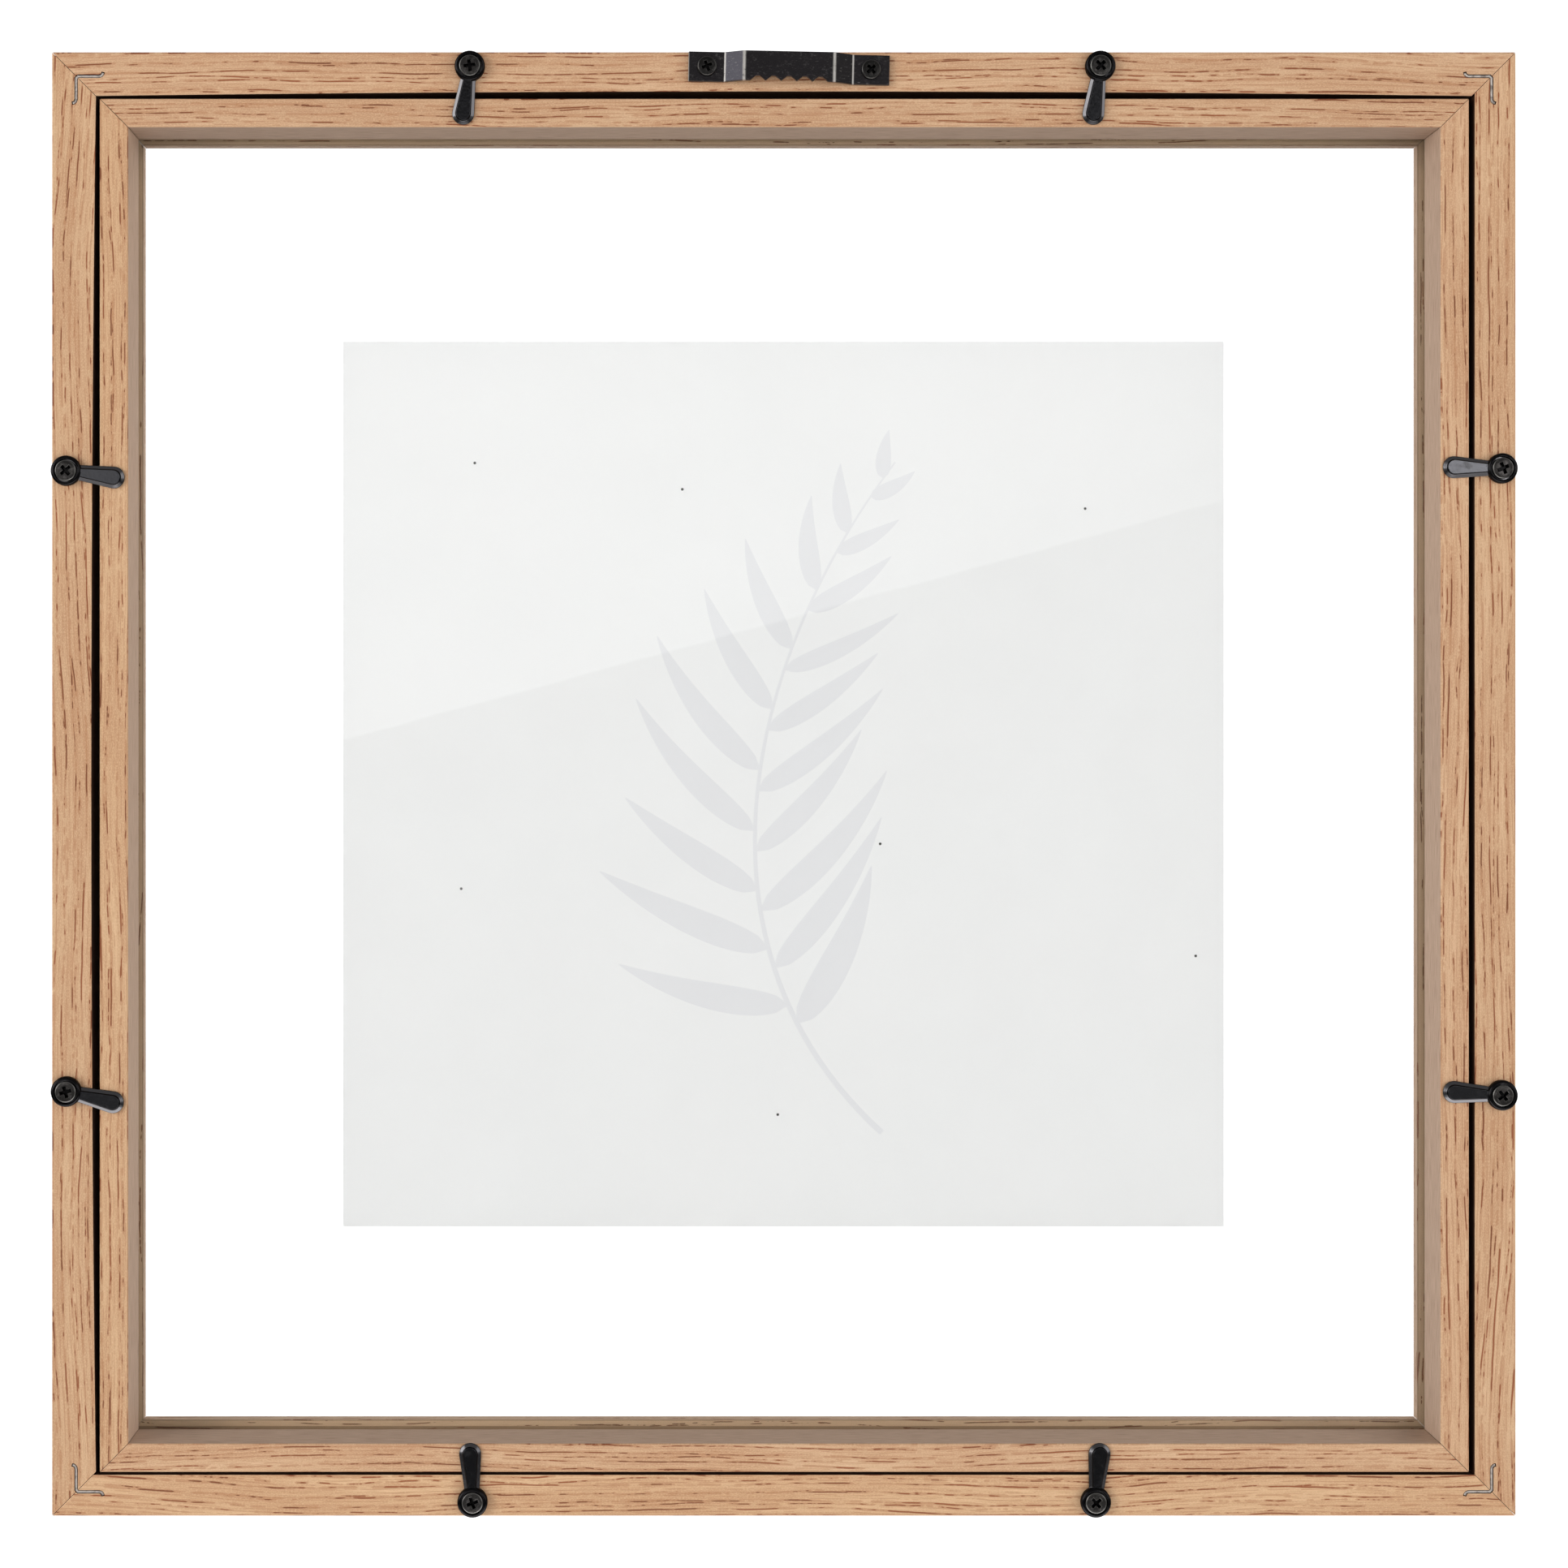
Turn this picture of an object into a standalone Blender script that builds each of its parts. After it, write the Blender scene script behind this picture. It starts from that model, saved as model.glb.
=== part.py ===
"""Floating frame: a mitred oak frame that holds a print between two panes of glass.

The panes lie on the lip of the outer frame. An inner spacer frame fills the rabbet
behind them, and eight turn buttons, each on its own screw, keep it there. A sawtooth
hanger on the top rail hooks over a nail in the wall.

Metres, +Z up. The front looks along -Y, and the rear faces of the rails lie at Y = 0.
Left and right are as seen from the front. The origin is where the wall nail's axis
meets the rear face, in the centre notch of the hanger.

Everything is modelled as it lies on a bench, face down: bench X is world X, bench Y
points down the frame and bench Z points out of its rear face. The parent empty stands
the whole frame up. Each rail is modelled as the top rail, with its outer edge towards
bench -Y, and is turned about the frame's centre by quarter turns.
"""

import math

import bmesh
import bpy
from mathutils import Matrix, Vector

MM = 0.001

# Outer frame: an L-shaped moulding, mitred at 45 degrees.
OUTER_SIZE = 320 * MM
OUTER_DEPTH = 22 * MM
OUTER_FACE = 17 * MM
LIP_DEPTH = 4 * MM
SIGHT_CHAMFER = 1 * MM
ARRIS = 0.3 * MM
MITRE_GAP = 0.1 * MM
# Thickness of the wall beside the rabbet, at the mitres and at mid-length.
WALL_AT_ENDS = {"top": 9.6 * MM, "right": 9.6 * MM, "bottom": 9.0 * MM, "left": 9.0 * MM}
WALL_AT_MIDDLE = {"top": 8.6 * MM, "right": 8.6 * MM, "bottom": 9.0 * MM, "left": 9.0 * MM}
BOW_POINTS = 13

# Glass, print and inner frame, stacked on the lip with a gap between neighbours.
GAP = 0.25 * MM
PANE_SIZE = 300 * MM
PANE_THICKNESS = 2 * MM
PANE_CENTRE = Vector((-0.3, 0.5)) * MM
PANE_ARRIS = 0.2 * MM
PRINT_WIDTH = 197 * MM
PRINT_HEIGHT = 198 * MM
PRINT_THICKNESS = 0.3 * MM
PRINT_CENTRE = Vector((-0.6, 0.3)) * MM
INNER_WIDTH = 299.3 * MM
INNER_HEIGHT = 300.2 * MM
INNER_FACE = 6.2 * MM
INNER_CENTRE = Vector((-0.1, 0.3)) * MM
INNER_ARRIS = 0.2 * MM

# Turn buttons: a dished round head on a screw, and a tapering tongue.
PIVOT_INSET = 3.3 * MM
HEAD_RADIUS = 3.3 * MM
HEAD_HEIGHT = 1.6 * MM
RIM_RADIUS = 0.55 * MM
POCKET_RADIUS = 2.55 * MM
POCKET_FLOOR = 0.6 * MM
TONGUE_LENGTH = 10.4 * MM
TONGUE_ROOT = 1.2 * MM
TONGUE_ROOT_RADIUS = 1.5 * MM
TONGUE_END_RADIUS = 2.4 * MM
TONGUE_EDGE = 0.35 * MM
TONGUE_SLOPE = (0.72 * MM, 0.40 * MM)
TONGUE_STEP = (0.14 * MM, 0.42 * MM)
# Each button's rail, its place along that rail, its turn in degrees away from square
# to the rail, and the turn in degrees of its screw's cross.
BUTTONS = {
    "top_left": ("top", -69.0 * MM, -7.9, 45),
    "top_right": ("top", 68.6 * MM, -8.1, 8),
    "right_upper": ("right", -68.4 * MM, -8.0, 40),
    "right_lower": ("right", 67.1 * MM, -13.4, 16),
    "bottom_right": ("bottom", -68.0 * MM, 3.0, 20),
    "bottom_left": ("bottom", 68.0 * MM, -5.0, 42),
    "left_lower": ("left", -67.9 * MM, -3.5, 38),
    "left_upper": ("left", 68.9 * MM, -1.7, 24),
}

# Screws: a pan head with a cross recess, on a plain shank with a point. A head's size is
# its radius and height, and its shoulder and cross are shares of those.
SHANK_RADIUS = 1.0 * MM
SHANK_LENGTH = 7.5 * MM
SHANK_POINT = 2 * MM
SHANK_CLEARANCE = 0.15 * MM
CROSS_DEPTH = 1.0 * MM
CROSS_REACH = 0.58
CROSS_HALF_WIDTH = 0.17
CROSS_TAPER = 0.4
BUTTON_SCREW_HEAD = (2.35 * MM, 0.95 * MM)
HANGER_SCREW_HEAD = (2.1 * MM, 0.75 * MM)
HEAD_SHOULDER = 0.35

# Sawtooth hanger: a bent steel strip with five notches along its lower edge.
HANGER_CENTRE = Vector((-1.05, -156.2)) * MM
HANGER_TILT = -1.2
HANGER_WIDTH = 6.45 * MM
HANGER_THICKNESS = 0.9 * MM
HANGER_RISE = 2.1 * MM
HANGER_HALF_LENGTH = 21.95 * MM
HANGER_FOOT = 7.95 * MM
HANGER_RAMP = 4.2 * MM
HANGER_BEND = 0.8 * MM
HANGER_SCREW_SPACING = 35.8 * MM
NOTCHES = 5
NOTCH_PITCH = 3.4 * MM
NOTCH_DEPTH = 1.05 * MM
NOTCH_FLAT = 0.9 * MM

# Corner nails: a bent strip driven across each mitre of the outer frame. Its slot runs
# on past its curled ends by a few degrees.
NAIL_INSET = 5.3 * MM
NAIL_LEG = 5.9 * MM
NAIL_CURL = 0.9 * MM
NAIL_CURL_ANGLE = 80
NAIL_BEND = 0.4 * MM
NAIL_THICKNESS = 0.45 * MM
NAIL_HEIGHT = 7 * MM
NAIL_SET_BACK = 0.05 * MM
NAIL_CLEARANCE = 0.15 * MM
NAIL_SLOT_OVERRUN = 12

SIDES = ("top", "right", "bottom", "left")
CORNERS = ("top_right", "bottom_right", "bottom_left", "top_left")
OVERSHOOT = 1 * MM
MERGE = 0.002 * MM
TURNED_STEPS = 32
HOLE_STEPS = 12
ARC_STEPS = 3
TONGUE_END_STEPS = 16
SMOOTH_ANGLE = math.radians(32)
FACING_UP = 0.5

RABBET_FLOOR = LIP_DEPTH - OUTER_DEPTH
FRONT_PANE_Z = RABBET_FLOOR + GAP
PRINT_Z = FRONT_PANE_Z + PANE_THICKNESS + GAP
REAR_PANE_Z = PRINT_Z + PRINT_THICKNESS + GAP
INNER_FLOOR = REAR_PANE_Z + PANE_THICKNESS + GAP
BUTTON_SCREW_Z = GAP + POCKET_FLOOR + SHANK_CLEARANCE
HANGER_SCREW_Z = GAP + HANGER_THICKNESS + SHANK_CLEARANCE


def clear_scene():
    for obj in list(bpy.data.objects):
        bpy.data.objects.remove(obj)


def new_collection(name):
    collection = bpy.data.collections.new(name)
    bpy.context.scene.collection.children.link(collection)
    return collection


def new_material(name, colour, roughness, metallic=0.0, alpha=1.0):
    material = bpy.data.materials.new(name)
    material.use_nodes = True
    shader = material.node_tree.nodes["Principled BSDF"]
    shader.inputs["Base Color"].default_value = (*colour, 1.0)
    shader.inputs["Roughness"].default_value = roughness
    shader.inputs["Metallic"].default_value = metallic
    shader.inputs["Alpha"].default_value = alpha
    return material


def bench_object(name, mesh, location=(0, 0, 0), turn=0.0):
    """An object of the frame, placed on the bench and turned about bench Z in degrees."""
    obj = bpy.data.objects.new(name, mesh)
    obj.location = location
    obj.rotation_euler.z = math.radians(turn)
    obj.parent = frame_centre
    return obj


def add_part(name, mesh, material, location=(0, 0, 0), turn=0.0):
    """A part of the frame, in a material of its own made like the one given."""
    obj = bench_object(name, mesh, location, turn)
    parts.objects.link(obj)
    if not mesh.materials:
        mesh.materials.append(material)
    own = material.copy()
    own.name = name + "_finish"
    obj.material_slots[0].link = "OBJECT"
    obj.material_slots[0].material = own
    return obj


def add_cutter(name, mesh, location=(0, 0, 0), turn=0.0):
    obj = bench_object(name, mesh, location, turn)
    cutters.objects.link(obj)
    obj.hide_render = True
    obj.display_type = "WIRE"
    return obj


def boolean(obj, other, operation="DIFFERENCE"):
    modifier = obj.modifiers.new(operation.lower(), "BOOLEAN")
    modifier.operation = operation
    modifier.object = other


def baked_mesh(obj):
    """The mesh that an object makes with its modifiers, closed at its seams."""
    bpy.context.view_layer.update()
    graph = bpy.context.evaluated_depsgraph_get()
    mesh = bpy.data.meshes.new_from_object(obj.evaluated_get(graph), depsgraph=graph)
    mesh.transform(obj.matrix_world)
    work = bmesh.new()
    work.from_mesh(mesh)
    bmesh.ops.remove_doubles(work, verts=work.verts, dist=MERGE)
    bmesh.ops.recalc_face_normals(work, faces=work.faces)
    work.to_mesh(mesh)
    work.free()
    return mesh


def loose_object(data):
    """An object outside the assembly, used only while a mesh is made from it."""
    obj = bpy.data.objects.new("loose", data)
    bpy.context.scene.collection.objects.link(obj)
    return obj


def flat_curve(points, closed, half_height):
    curve = bpy.data.curves.new("outline", "CURVE")
    curve.dimensions = "2D" if closed else "3D"
    curve.fill_mode = "BOTH" if closed else "FULL"
    curve.extrude = half_height
    spline = curve.splines.new("POLY")
    spline.points.add(len(points) - 1)
    for spline_point, (x, y) in zip(spline.points, points):
        spline_point.co = (x, y, 0, 1)
    spline.use_cyclic_u = closed
    return curve


def prism(points, low, high):
    """A solid with the outline of points in bench X and Y, from low to high in Z."""
    outline = loose_object(flat_curve(points, True, (high - low) / 2))
    outline.location.z = (low + high) / 2
    mesh = baked_mesh(outline)
    bpy.data.objects.remove(outline)
    return mesh


def strip(points, thickness, low, high):
    """A bent strip of even thickness that stands on edge along points, from low to high."""
    ribbon = loose_object(flat_curve(points, False, (high - low) / 2))
    surface = baked_mesh(ribbon)
    bpy.data.objects.remove(ribbon)
    shell = loose_object(surface)
    shell.location.z = (low + high) / 2
    solidify = shell.modifiers.new("thickness", "SOLIDIFY")
    solidify.thickness = thickness
    solidify.offset = 0
    solidify.use_even_offset = True
    mesh = baked_mesh(shell)
    bpy.data.objects.remove(shell)
    return mesh


def turned(profile, steps):
    """A turned solid about bench Z from (radius, height) points, top to bottom."""
    mesh = bpy.data.meshes.new("profile")
    points = [(radius, 0, height) for radius, height in profile]
    edges = [(i, i + 1) for i in range(len(points) - 1)]
    mesh.from_pydata(points, edges, [])
    obj = loose_object(mesh)
    screw = obj.modifiers.new("turn", "SCREW")
    screw.axis = "Z"
    screw.angle = math.tau
    screw.steps = steps
    screw.render_steps = steps
    screw.use_merge_vertices = True
    screw.merge_threshold = MERGE
    solid = baked_mesh(obj)
    bpy.data.objects.remove(obj)
    return solid


def box(size, low_z, high_z, centre=(0, 0)):
    mesh = bpy.data.meshes.new("box")
    work = bmesh.new()
    scale = Matrix.Diagonal((size[0], size[1], high_z - low_z, 1))
    place = Matrix.Translation((centre[0], centre[1], (low_z + high_z) / 2))
    bmesh.ops.create_cube(work, size=1, matrix=place @ scale)
    work.to_mesh(mesh)
    work.free()
    return mesh


def arc(centre, radius, start, end, steps):
    """Points on a circle from start to end, in degrees from +X towards +Y."""
    angles = [math.radians(start + (end - start) * i / steps) for i in range(steps + 1)]
    return [
        (centre[0] + radius * math.cos(a), centre[1] + radius * math.sin(a)) for a in angles
    ]


def rounded_path(points, radius, steps=ARC_STEPS):
    """An open path whose inner points are rounded off by arcs of the radius."""
    path = [tuple(points[0])]
    for before, point, after in zip(points, points[1:], points[2:]):
        corner = Vector(point)
        back = (Vector(before) - corner).normalized()
        ahead = (Vector(after) - corner).normalized()
        half = back.angle(ahead) / 2
        reach = radius / math.tan(half)
        centre = corner + (back + ahead).normalized() * radius / math.sin(half)
        first = corner + back * reach - centre
        last = corner + ahead * reach - centre
        for i in range(steps + 1):
            path.append(tuple(centre + first.lerp(last, i / steps).normalized() * radius))
    path.append(tuple(points[-1]))
    return path


def smooth(mesh):
    """Smooth shading with crisp edges, for pressed and turned pieces."""
    mesh.shade_smooth()
    mesh.set_sharp_from_angle(angle=SMOOTH_ANGLE)
    return mesh


def moulding(section, length, width):
    """A length of moulding with mitred ends, as the top rail of a frame.

    The section's points are the distance in from the outer edge and the height. Each end
    is sawn at 45 degrees, so that a point lies as far from the end as from the outer edge.
    """
    mesh = prism(section, -length / 2, length / 2)
    kerf = MITRE_GAP / math.sqrt(2)
    for vertex in mesh.vertices:
        inward, height, along = vertex.co
        end = math.copysign(length / 2 - inward - kerf, along)
        vertex.co = (end, inward - width / 2, height)
    work = bmesh.new()
    work.from_mesh(mesh)
    bmesh.ops.recalc_face_normals(work, faces=work.faces)
    work.to_mesh(mesh)
    work.free()
    mesh.shade_flat()
    return mesh


def outer_section(wall):
    """The L-shaped section: a wall beside the rabbet, and the lip in front of it."""
    floor, front = RABBET_FLOOR, -OUTER_DEPTH
    return [
        (0, -ARRIS),
        (ARRIS, 0),
        (wall, 0),
        (wall, floor),
        (OUTER_FACE, floor),
        (OUTER_FACE, front + SIGHT_CHAMFER),
        (OUTER_FACE - SIGHT_CHAMFER, front),
        (ARRIS, front),
        (0, front + ARRIS),
    ]


def inner_section():
    edge, wide, floor = INNER_ARRIS, INNER_FACE, INNER_FLOOR
    return [
        (0, -edge),
        (edge, 0),
        (wide - edge, 0),
        (wide, -edge),
        (wide, floor),
        (0, floor),
    ]


def bow_outline(side):
    """The sliver that a bowed rail lacks beside its rabbet, deepest at mid-length."""
    ends, middle = WALL_AT_ENDS[side], WALL_AT_MIDDLE[side]
    half = OUTER_SIZE / 2 - ends
    outer_edge = -OUTER_SIZE / 2
    points = []
    for i in range(BOW_POINTS):
        across = 2 * i / (BOW_POINTS - 1) - 1
        wall = middle + (ends - middle) * across**2
        points.append((half * across, outer_edge + wall))
    back = outer_edge + ends + OVERSHOOT
    return points + [(half, back), (-half, back)]


def pivot_point(side, along):
    """A place on the bench, along a rail and a screw's inset in from its outer edge."""
    local = Vector((along, PIVOT_INSET - OUTER_SIZE / 2, 0))
    return Matrix.Rotation(math.pi / 2 * SIDES.index(side), 3, "Z") @ local


def hanger_point(along, down=0.0):
    """A place on the bench, from the hanger's centre along and across its strip."""
    local = Vector((along, down, 0))
    return Matrix.Rotation(math.radians(HANGER_TILT), 3, "Z") @ local + HANGER_CENTRE.to_3d()


def pilot_hole(name, point, screw_z):
    """The hole that a screw leaves in its rail."""
    radius = SHANK_RADIUS + SHANK_CLEARANCE
    floor = screw_z - SHANK_LENGTH - SHANK_POINT - SHANK_CLEARANCE
    profile = [(0, OVERSHOOT), (radius, OVERSHOOT), (radius, floor + SHANK_POINT), (0, floor)]
    return add_cutter(name, turned(profile, HOLE_STEPS), point)


def nail_path(overrun):
    """The strip's line at the top right corner: two legs, each with its end curled out.

    The overrun is how many degrees the line runs on past the nail's own curl.
    """
    apex = Vector((OUTER_SIZE / 2 - NAIL_INSET, NAIL_INSET - OUTER_SIZE / 2))
    along_top, along_side = Vector((-1, 0)), Vector((0, 1))
    above, beside = Vector((0, -1)), Vector((1, 0))

    def leg(ahead, outward):
        centre = apex + ahead * (NAIL_LEG - NAIL_CURL) + outward * NAIL_CURL
        points = []
        for i in range(ARC_STEPS + 1):
            angle = math.radians(NAIL_CURL_ANGLE + overrun) * i / ARC_STEPS
            sweep = ahead * math.sin(angle) - outward * math.cos(angle)
            points.append(centre + sweep * NAIL_CURL)
        return points

    bend = [apex + along_top * NAIL_BEND, apex + along_side * NAIL_BEND]
    return leg(along_top, above)[::-1] + bend + leg(along_side, beside)


def add_corner_nails(steel):
    """Drives a nail across each mitre, and returns the slots that it cuts."""
    nail = smooth(strip(nail_path(0), NAIL_THICKNESS, -NAIL_HEIGHT, -NAIL_SET_BACK))
    slot = strip(
        nail_path(NAIL_SLOT_OVERRUN),
        NAIL_THICKNESS + 2 * NAIL_CLEARANCE,
        -NAIL_HEIGHT - NAIL_CLEARANCE,
        OVERSHOOT,
    )
    slots = []
    for quarter, corner in enumerate(CORNERS):
        add_part("corner_nail_" + corner, nail, steel, turn=90 * quarter)
        slots.append(add_cutter("slot_" + corner, slot, turn=90 * quarter))
    return slots


def add_outer_frame(oak, slots, holes):
    """Four mitred rails, with the slots at both mitres and the screw holes of each side."""
    for quarter, side in enumerate(SIDES):
        wall = WALL_AT_ENDS[side]
        mesh = moulding(outer_section(wall), OUTER_SIZE, OUTER_SIZE)
        rail = add_part("outer_rail_" + side, mesh, oak, turn=90 * quarter)
        if WALL_AT_MIDDLE[side] < wall:
            bow = prism(bow_outline(side), RABBET_FLOOR, OVERSHOOT)
            boolean(rail, add_cutter("bow_" + side, bow, turn=90 * quarter))
        for cutter in (slots[quarter], slots[quarter - 1], *holes[side]):
            boolean(rail, cutter)


def add_inner_frame(oak):
    """Four mitred rails of the spacer frame, which is a little less wide than high."""
    for quarter, side in enumerate(SIDES):
        length, width = INNER_WIDTH, INNER_HEIGHT
        if side in ("left", "right"):
            length, width = width, length
        mesh = moulding(inner_section(), length, width)
        add_part("inner_rail_" + side, mesh, oak, INNER_CENTRE.to_3d(), 90 * quarter)


def add_panes_and_print(glass, paper):
    pane_size = (PANE_SIZE, PANE_SIZE)
    for name, low in (("front_glass", FRONT_PANE_Z), ("rear_glass", REAR_PANE_Z)):
        mesh = box(pane_size, low, low + PANE_THICKNESS, PANE_CENTRE)
        pane = add_part(name, mesh, glass)
        bevel = pane.modifiers.new("seamed_edges", "BEVEL")
        bevel.width = PANE_ARRIS
        bevel.segments = 1
    sheet_size = (PRINT_WIDTH, PRINT_HEIGHT)
    mesh = box(sheet_size, PRINT_Z, PRINT_Z + PRINT_THICKNESS, PRINT_CENTRE)
    add_part("art_print", mesh, paper)


def tongue_outline():
    """The tongue seen from above: a small circle at its root and a larger one at its end,
    joined by their tangents."""
    span = TONGUE_LENGTH - TONGUE_ROOT
    lean = math.degrees(math.asin((TONGUE_END_RADIUS - TONGUE_ROOT_RADIUS) / span))
    root = arc((0, TONGUE_ROOT), TONGUE_ROOT_RADIUS, 180 + lean, 360 - lean, ARC_STEPS)
    end = arc((0, TONGUE_LENGTH), TONGUE_END_RADIUS, -lean, 180 + lean, TONGUE_END_STEPS)
    return root + end


def tongue_mesh():
    """A pressed tongue: a thin edge, a sloping flank, and a step up to a flat top."""
    mesh = prism(tongue_outline(), 0, TONGUE_EDGE)
    work = bmesh.new()
    work.from_mesh(mesh)
    top = [face for face in work.faces if face.normal.z > FACING_UP]
    for inset, rise in (TONGUE_SLOPE, TONGUE_STEP):
        bmesh.ops.dissolve_faces(work, faces=top)
        top = [max(work.faces, key=lambda face: face.calc_center_median().z)]
        bmesh.ops.inset_region(work, faces=top, thickness=inset, depth=rise, use_even_offset=True)
    work.to_mesh(mesh)
    work.free()
    return mesh


def button_mesh():
    """The head and tongue as one piece, then the pocket and bore for the screw."""
    rim = arc((HEAD_RADIUS - RIM_RADIUS, HEAD_HEIGHT - RIM_RADIUS), RIM_RADIUS, 90, 0, ARC_STEPS)
    head_profile = [(0, HEAD_HEIGHT), *rim, (HEAD_RADIUS, 0), (0, 0)]
    bore = SHANK_RADIUS + SHANK_CLEARANCE
    pocket_profile = [
        (0, HEAD_HEIGHT + OVERSHOOT),
        (POCKET_RADIUS, HEAD_HEIGHT + OVERSHOOT),
        (POCKET_RADIUS, POCKET_FLOOR),
        (bore, POCKET_FLOOR),
        (bore, -OVERSHOOT),
        (0, -OVERSHOOT),
    ]
    head = loose_object(turned(head_profile, TURNED_STEPS))
    tongue = loose_object(tongue_mesh())
    pocket = loose_object(turned(pocket_profile, TURNED_STEPS))
    boolean(head, tongue, "UNION")
    boolean(head, pocket)
    mesh = baked_mesh(head)
    for obj in (head, tongue, pocket):
        bpy.data.objects.remove(obj)
    return smooth(mesh)


def cross_mesh(head_radius, head_height):
    """The cross recess as a solid: a plus that is full size at the head's top and
    narrows towards its floor, carried on as far above the head."""
    reach, half_width = CROSS_REACH * head_radius, CROSS_HALF_WIDTH * head_radius
    plus = []
    for quarter in range(4):
        turn = Matrix.Rotation(math.pi / 2 * quarter, 2)
        corners = ((half_width, half_width), (reach, half_width), (reach, -half_width))
        plus += [tuple(turn @ Vector(corner)) for corner in reversed(corners)]
    floor = head_height - CROSS_DEPTH
    mesh = prism(plus, floor, head_height + CROSS_DEPTH)
    for vertex in mesh.vertices:
        rise = (vertex.co.z - head_height) / CROSS_DEPTH
        vertex.co.xy *= 1 + CROSS_TAPER * rise
    return mesh


def screw_mesh(head):
    """A pan-head screw whose head rests at height 0 and whose shank points down."""
    radius, height = head
    edge = HEAD_SHOULDER * height
    shoulder = arc((radius - edge, height - edge), edge, 90, 0, ARC_STEPS)
    profile = [
        (0, height),
        *shoulder,
        (radius, 0),
        (SHANK_RADIUS, 0),
        (SHANK_RADIUS, -SHANK_LENGTH),
        (0, -SHANK_LENGTH - SHANK_POINT),
    ]
    blank = loose_object(turned(profile, TURNED_STEPS))
    cross = loose_object(cross_mesh(radius, height))
    boolean(blank, cross)
    mesh = baked_mesh(blank)
    for obj in (blank, cross):
        bpy.data.objects.remove(obj)
    return smooth(mesh)


def add_turn_buttons(lacquer):
    """Eight buttons on their screws; returns the holes that the screws leave, by side."""
    holes = {side: [] for side in SIDES}
    button = button_mesh()
    screw = screw_mesh(BUTTON_SCREW_HEAD)
    for name, (side, along, turn, cross_turn) in BUTTONS.items():
        pivot = pivot_point(side, along)
        square = 90 * SIDES.index(side)
        seat, screw_seat = Vector((0, 0, GAP)), Vector((0, 0, BUTTON_SCREW_Z))
        add_part("turn_button_" + name, button, lacquer, pivot + seat, square + turn)
        add_part("button_screw_" + name, screw, lacquer, pivot + screw_seat, cross_turn)
        holes[side].append(pilot_hole("hole_" + name, pivot, BUTTON_SCREW_Z))
    return holes


def notch_outline():
    """One cutter outline for all notches: flat-topped teeth below the strip's edge."""
    edge = HANGER_WIDTH / 2
    first = -NOTCHES * NOTCH_PITCH / 2
    tops = []
    for i in range(NOTCHES):
        middle = first + (i + 0.5) * NOTCH_PITCH
        tops.append((middle - NOTCH_PITCH / 2, edge))
        tops.append((middle - NOTCH_FLAT / 2, edge - NOTCH_DEPTH))
        tops.append((middle + NOTCH_FLAT / 2, edge - NOTCH_DEPTH))
    tops.append((-first, edge))
    return tops + [(-first, edge + OVERSHOOT), (first, edge + OVERSHOOT)]


def hanger_mesh():
    """The bent strip, stood on its feet, with its notches and screw holes."""
    foot_end = HANGER_HALF_LENGTH - HANGER_FOOT
    bridge_end = foot_end - HANGER_RAMP
    low = HANGER_THICKNESS / 2
    high = low + HANGER_RISE
    half_line = [(HANGER_HALF_LENGTH, low), (foot_end, low), (bridge_end, high)]
    line = [(-x, z) for x, z in half_line] + half_line[::-1]
    bent = strip(
        rounded_path(line, HANGER_BEND), HANGER_THICKNESS, -HANGER_WIDTH / 2, HANGER_WIDTH / 2
    )
    bent.transform(Matrix.Rotation(math.pi / 2, 4, "X"))
    blank = loose_object(bent)
    through = high + OVERSHOOT
    tools = [loose_object(prism(notch_outline(), HANGER_RISE / 2, through))]
    bore = SHANK_RADIUS + SHANK_CLEARANCE
    hole = turned([(0, through), (bore, through), (bore, -OVERSHOOT), (0, -OVERSHOOT)], HOLE_STEPS)
    for sign in (-1, 1):
        tool = loose_object(hole)
        tool.location.x = sign * HANGER_SCREW_SPACING / 2
        tools.append(tool)
    for tool in tools:
        boolean(blank, tool)
    mesh = baked_mesh(blank)
    for obj in (blank, *tools):
        bpy.data.objects.remove(obj)
    return smooth(mesh)


def add_hanger(steel, lacquer):
    """The hanger and its two screws; returns the holes that the screws leave."""
    place = hanger_point(0) + Vector((0, 0, GAP))
    add_part("sawtooth_hanger", hanger_mesh(), steel, place, HANGER_TILT)
    screw = screw_mesh(HANGER_SCREW_HEAD)
    holes = []
    for name, sign, cross_turn in (("left", -1, 42), ("right", 1, 22)):
        point = hanger_point(sign * HANGER_SCREW_SPACING / 2)
        seat = Vector((0, 0, HANGER_SCREW_Z))
        add_part("hanger_screw_" + name, screw, lacquer, point + seat, cross_turn)
        holes.append(pilot_hole("hole_hanger_" + name, point, HANGER_SCREW_Z))
    return holes


clear_scene()
parts = new_collection("floating_frame")
cutters = new_collection("cutters")

# The empty stands the frame up and brings the hanger's centre notch to the origin.
notch = hanger_point(0, HANGER_WIDTH / 2 - NOTCH_DEPTH)
frame_centre = bpy.data.objects.new("frame_centre", None)
parts.objects.link(frame_centre)
frame_centre.rotation_euler.x = -math.pi / 2
frame_centre.location = (-notch.x, 0, notch.y)

oak_finish = new_material("oak", (0.60, 0.37, 0.21), 0.62)
glass_finish = new_material("glass", (0.93, 0.96, 0.95), 0.03, alpha=0.2)
paper_finish = new_material("paper", (0.86, 0.86, 0.86), 0.85)
lacquer_finish = new_material("black_lacquer", (0.012, 0.012, 0.013), 0.38, 0.4)
hanger_finish = new_material("blackened_steel", (0.03, 0.03, 0.033), 0.42, 0.7)
nail_finish = new_material("nail_steel", (0.30, 0.28, 0.27), 0.45, 0.9)

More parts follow.
